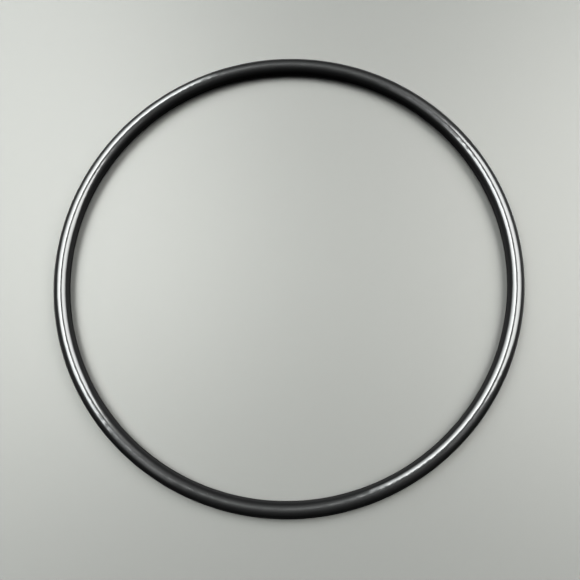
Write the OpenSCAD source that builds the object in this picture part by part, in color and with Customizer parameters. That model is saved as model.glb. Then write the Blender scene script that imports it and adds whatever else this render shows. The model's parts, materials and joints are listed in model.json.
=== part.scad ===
// Rubber o-ring: one moulded ring of round section, lying flat.
// The origin is the centre of the ring, midway through its thickness, and +Z is the ring's axis.

/* [Ring] */
// Inside diameter, across the trimmed flat
inner_d = 80; // [20:0.5:200]
// Diameter of the round section, which is also the ring's height as it lies
section_d = 3; // [1.5:0.1:8]

/* [Mould line] */
// Width of the narrow flat left where the flash was trimmed, round the inside and the outside
trim_w = 0.36; // [0.1:0.02:0.8]

/* [Finish] */
// Colour of the black rubber
rubber_colour = [0.07, 0.07, 0.075];

/* [Hidden] */
// Smoothness of the ring and of its section
$fn = 144;
section_r = section_d / 2;
// The two flats are chords of the round section, so the section is this wide between them
section_w = 2 * sqrt(pow(section_r, 2) - pow(trim_w / 2, 2));
// Radius of the circle that the middle of the section follows
centre_r = inner_d / 2 + section_w / 2;

// The rubber's cross-section: a disc with the mould flash trimmed to a flat on each side
module trimmed_section() {
    intersection() {
        circle(r = section_r);
        square([section_w, section_d], center = true);
    }
}

module o_ring() {
    color(rubber_colour)
        rotate_extrude()
            translate([centre_r, 0])
                trimmed_section();
}

o_ring();
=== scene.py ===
"""A black rubber o-ring lying flat on a pale floor, under soft studio lights.

The ring is one moulded piece: a round section swept round the ring's axis, with the flash trimmed
off it inside and outside. Its surface has the fine grain of the mould, the dull trimmed flats, and a
little of the pale dust that black rubber always picks up.
"""

import json
import math

import bpy
from mathutils import Matrix, Vector


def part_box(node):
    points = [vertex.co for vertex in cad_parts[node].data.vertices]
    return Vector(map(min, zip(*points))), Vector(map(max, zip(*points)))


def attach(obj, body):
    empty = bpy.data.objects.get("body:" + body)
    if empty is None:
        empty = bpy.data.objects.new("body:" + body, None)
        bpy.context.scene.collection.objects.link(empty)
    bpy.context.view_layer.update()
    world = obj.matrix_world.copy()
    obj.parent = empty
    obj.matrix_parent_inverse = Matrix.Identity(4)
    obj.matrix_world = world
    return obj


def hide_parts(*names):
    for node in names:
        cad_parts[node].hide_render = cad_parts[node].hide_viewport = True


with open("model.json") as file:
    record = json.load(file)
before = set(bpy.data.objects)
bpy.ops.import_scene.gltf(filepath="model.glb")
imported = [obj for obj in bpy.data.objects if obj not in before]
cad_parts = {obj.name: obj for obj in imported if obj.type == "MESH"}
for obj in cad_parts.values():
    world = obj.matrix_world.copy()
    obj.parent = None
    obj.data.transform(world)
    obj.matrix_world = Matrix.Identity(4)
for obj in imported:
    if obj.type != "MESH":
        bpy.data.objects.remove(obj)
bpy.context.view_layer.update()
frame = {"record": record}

# Sizes of the ring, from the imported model.
MM = 0.001
FITS = {mount["name"]: mount["dims"] for mount in frame["record"]["mounts"]}
INNER_WALL = FITS["inner_seat"]["r_mm"] * MM
OUTER_WALL = FITS["outer_seat"]["r_mm"] * MM
TRIM_WIDTH = FITS["inner_seat"]["length_mm"] * MM
LOW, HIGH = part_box("o_ring")
SECTION_RADIUS = (HIGH.z - LOW.z) / 2

# Fineness of the mesh. A step of the section ends on each edge of the trimmed flats.
STEPS_IN_HALF_FLAT = 2
HALF_FLAT_ANGLE = math.asin(TRIM_WIDTH / 2 / SECTION_RADIUS)
STEPS_IN_QUARTER_SECTION = round(STEPS_IN_HALF_FLAT * math.pi / 2 / HALF_FLAT_ANGLE)
STEPS_ROUND_SECTION = 4 * STEPS_IN_QUARTER_SECTION
STEPS_AROUND = 880
SEAM_GAP = 0.001 * MM

# How uneven the moulding is: the most that its slow and quick dips sink, and how wide they are.
SLOW_SINK = 0.012 * MM
SLOW_WIDTH = 4.0 * MM
QUICK_SINK = 0.025 * MM
QUICK_WIDTH = 1.3 * MM
DIPS_SEED = 4.0

# The rubber's finish: a dull black body under a glossy skin, which the trimmed flats have lost.
RUBBER_BLACK = (0.0012, 0.0012, 0.0013, 1)
RUBBER_IOR = 1.5
BODY_ROUGHNESS = 0.50
BODY_GLOSS = 0.22
SKIN_ROUGHNESS = 0.11
FLAT_EXTRA_ROUGHNESS = 0.2
FLAT_LOST_SKIN = 0.8
FLAT_EDGE = (0.9, 1.1)
PATCH_WIDTH = 9 * MM
PATCH_EXTRA_ROUGHNESS = 0.1
GRAIN_WIDTH = 0.12 * MM
GRAIN_DEPTH = 0.004 * MM
GRAIN_STRENGTH = 0.5

# The dust on the rubber: its colour, how much it covers, and the noise that it starts and is full at.
DUST_COLOUR = (0.16, 0.16, 0.15, 1)
DUST_COVER = 0.5
DUST_WIDTH = 0.5 * MM
DUST_LIMITS = (0.76, 0.80)

# The floor's size and finish.
FLOOR_SIZE = 3.0
FLOOR_COLOUR = (0.085, 0.085, 0.082, 1)
FLOOR_ROUGHNESS = 0.4
FLOOR_GLOSS = 0.35
FLOOR_GLOSS_TINT = (1, 0.98, 0.94, 1)

# The camera: how far it stands from the middle of the ring, how far it leans from straight above,
# and which way it leans, counted from +X towards +Y.
CAMERA_DISTANCE = 125 * MM
CAMERA_LEAN = math.radians(13.6)
CAMERA_BEARING = math.radians(-77.9)
CAMERA_AIM = Vector((0.79 * MM, -3.12 * MM, 0))
CAMERA_LENS = 42.36
CAMERA_SENSOR = 36
CAMERA_NEAREST = 5 * MM
CAMERA_FARTHEST = 50

# Two bright panels of light hang level, high above the ring, one to its left and one to its right.
# Three dim panels hang just above them, where their light spills over. The corners, the reach of the
# light and the middle that it fades from are in shares of the height that the bright panels hang at.
LIGHT_HEIGHT = 2.0
LIGHT_MIDDLE = (-0.05, 0.22)
LEFT_CORNERS = (
    (-0.09, 0.26), (-0.12, 0.19), (-0.32, 0.03), (-0.7, -0.3), (-0.85, -0.15), (-0.95, 0.1), (-1.8, 0.7),
    (-2.2, 2), (-0.8, 2.4),
)
RIGHT_CORNERS = (
    (0.23, 0.05), (0.5, -0.12), (0.9, -0.15), (2, -0.1), (2.6, 0.5), (2.4, 1.5), (1.6, 1.5), (0.9, 1),
    (0.5, 0.76), (0.15, 0.41), (0.21, 0.32),
)
LEFT_SPILL_CORNERS = ((-0.1, 0.15), (-0.65, -0.85), (-1.5, -0.6), (-1.4, 0.1), (-0.5, 0))
UPPER_SPILL_CORNERS = ((0.05, 0.35), (0.6, 1.4), (1.6, 1.7), (0.25, 0.47))
LOWER_SPILL_CORNERS = ((0.12, 0.08), (0.75, -0.65), (1.4, -0.55), (1.4, 0), (0.5, -0.1))
SPILL_LIFT = 1.02
LEFT_GLOW = {"strength": 25.0, "tint": (0.965, 1, 0.99), "half_reach": 0.68, "sharpness": 2}
RIGHT_GLOW = {"strength": 15.0, "tint": (0.985, 1, 0.985), "half_reach": 1.6, "sharpness": 4}
SPILL_GLOW = {"strength": 1.7, "tint": (0.98, 1, 1), "half_reach": 0.9, "sharpness": 2}

# The dim light from everywhere, the pale backdrop, and the glow from below that stands for the floor
# in the ring's gloss. The glow fades between two heights at the horizon, between two heights straight
# down, and between two places from the front to the back, all as parts of a direction one unit long.
FILL_STRENGTH = 0.01
BACKDROP_STRENGTH = 0.5
GROUND_STRENGTH = 0.3
HORIZON_FADE = (-0.1, 0.02)
STRAIGHT_DOWN_FADE = (-0.95, -0.6)
FRONT_FADE = (-0.45, 0.1)


class Value:
    """A node's output that takes part in sums: each operator adds a Math node to its tree."""

    def __init__(self, tree, socket):
        self.tree = tree
        self.socket = socket

    def out(self, name):
        """Another output of the same node."""
        return Value(self.tree, self.socket.node.outputs[name])

    def __add__(self, other):
        return self.tree.maths("ADD", self, other)

    def __sub__(self, other):
        return self.tree.maths("SUBTRACT", self, other)

    def __mul__(self, other):
        return self.tree.maths("MULTIPLY", self, other)

    def __truediv__(self, other):
        return self.tree.maths("DIVIDE", self, other)

    def __radd__(self, other):
        return self.tree.maths("ADD", other, self)

    def __rsub__(self, other):
        return self.tree.maths("SUBTRACT", other, self)

    def __rmul__(self, other):
        return self.tree.maths("MULTIPLY", other, self)

    def __rtruediv__(self, other):
        return self.tree.maths("DIVIDE", other, self)


class Tree:
    """Makes the nodes of one node tree."""

    def __init__(self, node_tree):
        self.node_tree = node_tree

    def add(self, kind, settings=None, sockets=None, out=0):
        """A node of a type: its settings first, then the values and links of its sockets."""
        node = self.node_tree.nodes.new(kind)
        for name, value in (settings or {}).items():
            setattr(node, name, value)
        for key, value in (sockets or {}).items():
            if isinstance(value, Value):
                self.node_tree.links.new(value.socket, node.inputs[key])
            else:
                node.inputs[key].default_value = value
        if not node.outputs:
            return node
        return Value(self, node.outputs[out])

    def maths(self, operation, *values):
        """A Math node on values and numbers."""
        return self.add("ShaderNodeMath", {"operation": operation}, dict(enumerate(values)))

    def vector(self, x, y, z):
        """A vector from three values."""
        return self.add("ShaderNodeCombineXYZ", {}, {"X": x, "Y": y, "Z": z})

    def change(self, value, low, high, to_low=0.0, to_high=1.0):
        """A smooth change from to_low to to_high while a value goes from low to high."""
        sockets = {
            "Value": value,
            "From Min": low,
            "From Max": high,
            "To Min": to_low,
            "To Max": to_high,
        }
        return self.add("ShaderNodeMapRange", {"interpolation_type": "SMOOTHSTEP"}, sockets)

    def noise(self, place, size, detail=1.0, roughness=0.5):
        """Noise from 0 to 1 in patches about size metres across."""
        sockets = {"Vector": place, "Scale": 1 / size, "Detail": detail, "Roughness": roughness}
        return self.add("ShaderNodeTexNoise", {}, sockets, "Fac")


# ------------------------------------------------------------------------------------- the shape

RING_SIZES = {
    "Inner Wall": ("NodeSocketFloat", INNER_WALL),
    "Outer Wall": ("NodeSocketFloat", OUTER_WALL),
    "Section Radius": ("NodeSocketFloat", SECTION_RADIUS),
    "Steps Around": ("NodeSocketInt", STEPS_AROUND),
    "Steps Round Section": ("NodeSocketInt", STEPS_ROUND_SECTION),
    "Slow Sink": ("NodeSocketFloat", SLOW_SINK),
    "Quick Sink": ("NodeSocketFloat", QUICK_SINK),
    "Seed": ("NodeSocketFloat", DIPS_SEED),
}


def ring_tree():
    """A tree that wraps a flat strip into the trimmed ring, and its inputs by name."""
    node_tree = bpy.data.node_groups.new("moulded_ring", "GeometryNodeTree")
    interface = node_tree.interface
    interface.new_socket("Geometry", in_out="OUTPUT", socket_type="NodeSocketGeometry")
    inputs = {"Rubber": interface.new_socket("Rubber", in_out="INPUT", socket_type="NodeSocketMaterial")}
    for name, (kind, _) in RING_SIZES.items():
        inputs[name] = interface.new_socket(name, in_out="INPUT", socket_type=kind)
    tree = Tree(node_tree)
    given = tree.add("NodeGroupInput")

    # A flat strip, one unit along the ring and one unit round its section.
    counts = {
        "Vertices X": given.out("Steps Around") + 1,
        "Vertices Y": given.out("Steps Round Section") + 1,
    }
    strip = tree.add("GeometryNodeMeshGrid", {}, {"Size X": 1.0, "Size Y": 1.0, **counts})
    share = strip.out("UV Map")
    along = tree.add("ShaderNodeSeparateXYZ", {}, {"Vector": share})
    turn = along * math.tau
    roll = along.out("Y") * math.tau

    # The round section, cut off at the two trimmed walls.
    inner = given.out("Inner Wall")
    outer = given.out("Outer Wall")
    radius = given.out("Section Radius")
    reach = (inner + outer) / 2 + radius * tree.maths("COSINE", roll)
    reach = tree.maths("MINIMUM", tree.maths("MAXIMUM", reach, inner), outer)
    place = tree.vector(
        reach * tree.maths("COSINE", turn),
        reach * tree.maths("SINE", turn),
        radius * tree.maths("SINE", roll),
    )
    shape = tree.add("GeometryNodeSetPosition", {}, {"Geometry": strip, "Position": place})
    map_kind = {"data_type": "FLOAT2", "domain": "CORNER"}
    map_sockets = {"Geometry": shape, "Name": "UVMap", "Value": share}
    shape = tree.add("GeometryNodeStoreNamedAttribute", map_kind, map_sockets)
    shape = tree.add("GeometryNodeMergeByDistance", {}, {"Geometry": shape, "Distance": SEAM_GAP})

    # Moulded rubber is a little uneven. The surface only sinks, so the ring stays within its size.
    spot = tree.add("GeometryNodeInputPosition")
    seed = tree.vector(given.out("Seed"), 0.0, 0.0)
    spot = tree.add("ShaderNodeVectorMath", {"operation": "ADD"}, {0: spot, 1: seed})
    depth = given.out("Slow Sink") * tree.noise(spot, SLOW_WIDTH)
    depth = depth + given.out("Quick Sink") * tree.noise(spot, QUICK_WIDTH)
    normal = tree.add("GeometryNodeInputNormal")
    sink = tree.add("ShaderNodeVectorMath", {"operation": "SCALE"}, {0: normal, "Scale": 0 - depth})
    shape = tree.add("GeometryNodeSetPosition", {}, {"Geometry": shape, "Offset": sink})
    shape = tree.add("GeometryNodeSetShadeSmooth", {}, {"Geometry": shape})
    shape = tree.add("GeometryNodeRealizeInstances", {}, {"Geometry": shape})
    finish = {"Geometry": shape, "Material": given.out("Rubber")}
    shape = tree.add("GeometryNodeSetMaterial", {}, finish)
    tree.add("NodeGroupOutput", {}, {"Geometry": shape})
    return node_tree, inputs


def moulded_ring(material):
    """The o-ring as a plain mesh."""
    node_tree, inputs = ring_tree()
    piece = bpy.data.objects.new("moulded_o_ring", bpy.data.meshes.new("strip"))
    bpy.context.scene.collection.objects.link(piece)
    modifier = piece.modifiers.new("mould", "NODES")
    modifier.node_group = node_tree
    modifier[inputs["Rubber"].identifier] = material
    for name, (_, size) in RING_SIZES.items():
        modifier[inputs[name].identifier] = size
    evaluated = piece.evaluated_get(bpy.context.evaluated_depsgraph_get())
    mesh = bpy.data.meshes.new_from_object(evaluated)
    piece.modifiers.remove(modifier)
    piece.data = mesh
    mesh.name = piece.name
    return piece


# ----------------------------------------------------------------------------------- the surface


def new_material(name):
    """An empty material and the tree that it is built in."""
    material = bpy.data.materials.new(name)
    material.use_nodes = True
    material.node_tree.nodes.clear()
    return material, Tree(material.node_tree)


def black_rubber():
    """Satin black moulded rubber: a thin glossy skin over a dull body with a fine grain."""
    material, tree = new_material("black_rubber")
    place = tree.add("ShaderNodeTexCoord", {}, {}, "Object")
    height = tree.maths("ABSOLUTE", tree.add("ShaderNodeSeparateXYZ", {}, {"Vector": place}, "Z"))
    flat_start, flat_end = (TRIM_WIDTH / 2 * share for share in FLAT_EDGE)
    flat = tree.change(height, flat_start, flat_end, 1.0, 0.0)

    grain = tree.noise(place, GRAIN_WIDTH, detail=2.0)
    patches = tree.noise(place, PATCH_WIDTH, detail=2.0)
    specks = tree.change(tree.noise(place, DUST_WIDTH, detail=3.0), *DUST_LIMITS)

    # The colour Mix has its two colours in its sockets 6 and 7, and gives its result from output 2.
    colours = {0: specks * DUST_COVER, 6: RUBBER_BLACK, 7: DUST_COLOUR}
    colour = tree.add("ShaderNodeMix", {"data_type": "RGBA"}, colours, 2)
    bump = tree.add(
        "ShaderNodeBump",
        {},
        {"Strength": GRAIN_STRENGTH, "Distance": GRAIN_DEPTH, "Height": grain},
    )
    skin = tree.add(
        "ShaderNodeBsdfPrincipled",
        {},
        {
            "Base Color": colour,
            "Roughness": BODY_ROUGHNESS + patches * PATCH_EXTRA_ROUGHNESS + flat * FLAT_EXTRA_ROUGHNESS,
            "Coat Weight": 1 - flat * FLAT_LOST_SKIN - specks,
            "Coat Roughness": SKIN_ROUGHNESS,
            "Coat IOR": RUBBER_IOR,
            "IOR": RUBBER_IOR,
            "Specular IOR Level": BODY_GLOSS,
            "Normal": bump,
        },
    )
    tree.add("ShaderNodeOutputMaterial", {}, {"Surface": skin})
    return material


def plain_floor():
    """A plain pale floor with a soft sheen."""
    material, tree = new_material("pale_floor")
    skin = tree.add(
        "ShaderNodeBsdfPrincipled",
        {},
        {
            "Base Color": FLOOR_COLOUR,
            "Roughness": FLOOR_ROUGHNESS,
            "Specular IOR Level": FLOOR_GLOSS,
            "Specular Tint": FLOOR_GLOSS_TINT,
        },
    )
    tree.add("ShaderNodeOutputMaterial", {}, {"Surface": skin})
    return material


def glow(name, strength, tint, half_reach, sharpness):
    """A material that only gives light. It is down to half at half_reach from the lights' middle."""
    material, tree = new_material(name)
    place = tree.add("ShaderNodeTexCoord", {}, {}, "Object")
    middle = (LIGHT_MIDDLE[0] * LIGHT_HEIGHT, LIGHT_MIDDLE[1] * LIGHT_HEIGHT, LIGHT_HEIGHT)
    away = tree.add("ShaderNodeVectorMath", {"operation": "DISTANCE"}, {0: place, 1: middle}, "Value")
    fade = 1 / (1 + tree.maths("POWER", away / (LIGHT_HEIGHT * half_reach), sharpness))
    colour = tree.add("ShaderNodeVectorMath", {"operation": "SCALE"}, {0: tint, "Scale": fade})
    light = tree.add("ShaderNodeEmission", {}, {"Color": colour, "Strength": strength})
    tree.add("ShaderNodeOutputMaterial", {}, {"Surface": light})
    return material


# ------------------------------------------------------------------------------------- the studio


def flat_mesh(name, corners, faces, material):
    """A flat object from corners and faces."""
    mesh = bpy.data.meshes.new(name)
    mesh.from_pydata([tuple(corner) for corner in corners], [], faces)
    mesh.materials.append(material)
    thing = bpy.data.objects.new(name, mesh)
    bpy.context.scene.collection.objects.link(thing)
    return thing


def floor():
    """The floor that the ring lies on. It doesn't show in the ring's gloss, which it would grey."""
    half = FLOOR_SIZE / 2
    corners = [(x, y, LOW.z) for x, y in ((-half, -half), (half, -half), (half, half), (-half, half))]
    sheet = flat_mesh("floor", corners, [(0, 1, 2, 3)], plain_floor())
    sheet.visible_glossy = False


def light_panel(name, corners, material, lift=1.0):
    """A level panel of light that the camera doesn't see."""
    places = [Vector((x, y, 1)) * LIGHT_HEIGHT * lift for x, y in corners]
    panel = flat_mesh(name, places, [tuple(range(len(places)))], material)
    panel.visible_camera = False


def world_light():
    """The dim light from everywhere, the glow from below, and the backdrop that the camera sees."""
    world = bpy.data.worlds.new("studio")
    bpy.context.scene.world = world
    world.use_nodes = True
    world.node_tree.nodes.clear()
    tree = Tree(world.node_tree)
    way = tree.add("ShaderNodeTexCoord", {}, {}, "Generated")
    way = tree.add("ShaderNodeSeparateXYZ", {}, {"Vector": way})
    below = tree.change(way.out("Z"), *HORIZON_FADE, 1.0, 0.0)
    beside = tree.change(way.out("Z"), *STRAIGHT_DOWN_FADE)
    ground = below * beside * tree.change(way.out("Y"), *FRONT_FADE) * GROUND_STRENGTH
    level = ground + FILL_STRENGTH
    seen = tree.add("ShaderNodeLightPath", {}, {}, "Is Camera Ray")
    level = level + seen * (BACKDROP_STRENGTH - level)
    fill = tree.add("ShaderNodeBackground", {}, {"Color": (1, 1, 1, 1), "Strength": level})
    tree.add("ShaderNodeOutputWorld", {}, {"Surface": fill})


def camera():
    """The camera, with +Y up in its view."""
    lean = Vector((math.cos(CAMERA_BEARING), math.sin(CAMERA_BEARING), 0)) * math.sin(CAMERA_LEAN)
    stand = (lean + Vector((0, 0, math.cos(CAMERA_LEAN)))) * CAMERA_DISTANCE
    ahead = (CAMERA_AIM - stand).normalized()
    right = ahead.cross(Vector((0, 1, 0))).normalized()
    turned = Matrix((right, right.cross(ahead), -ahead)).transposed()
    lens = bpy.data.cameras.new("camera")
    lens.lens = CAMERA_LENS
    lens.sensor_width = CAMERA_SENSOR
    lens.clip_start = CAMERA_NEAREST
    lens.clip_end = CAMERA_FARTHEST
    thing = bpy.data.objects.new("camera", lens)
    thing.matrix_world = Matrix.Translation(stand) @ turned.to_4x4()
    bpy.context.scene.collection.objects.link(thing)
    bpy.context.scene.camera = thing


ring = moulded_ring(black_rubber())
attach(ring, "root")
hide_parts("o_ring")

floor()
light_panel("left_light", LEFT_CORNERS, glow("left_glow", **LEFT_GLOW))
light_panel("right_light", RIGHT_CORNERS, glow("right_glow", **RIGHT_GLOW))
spill = glow("spill", **SPILL_GLOW)
light_panel("left_spill", LEFT_SPILL_CORNERS, spill, SPILL_LIFT)
light_panel("upper_spill", UPPER_SPILL_CORNERS, spill, SPILL_LIFT)
light_panel("lower_spill", LOWER_SPILL_CORNERS, spill, SPILL_LIFT)
world_light()
bpy.context.scene.view_settings.view_transform = "Standard"
bpy.context.scene.view_settings.look = "Medium High Contrast"
camera()
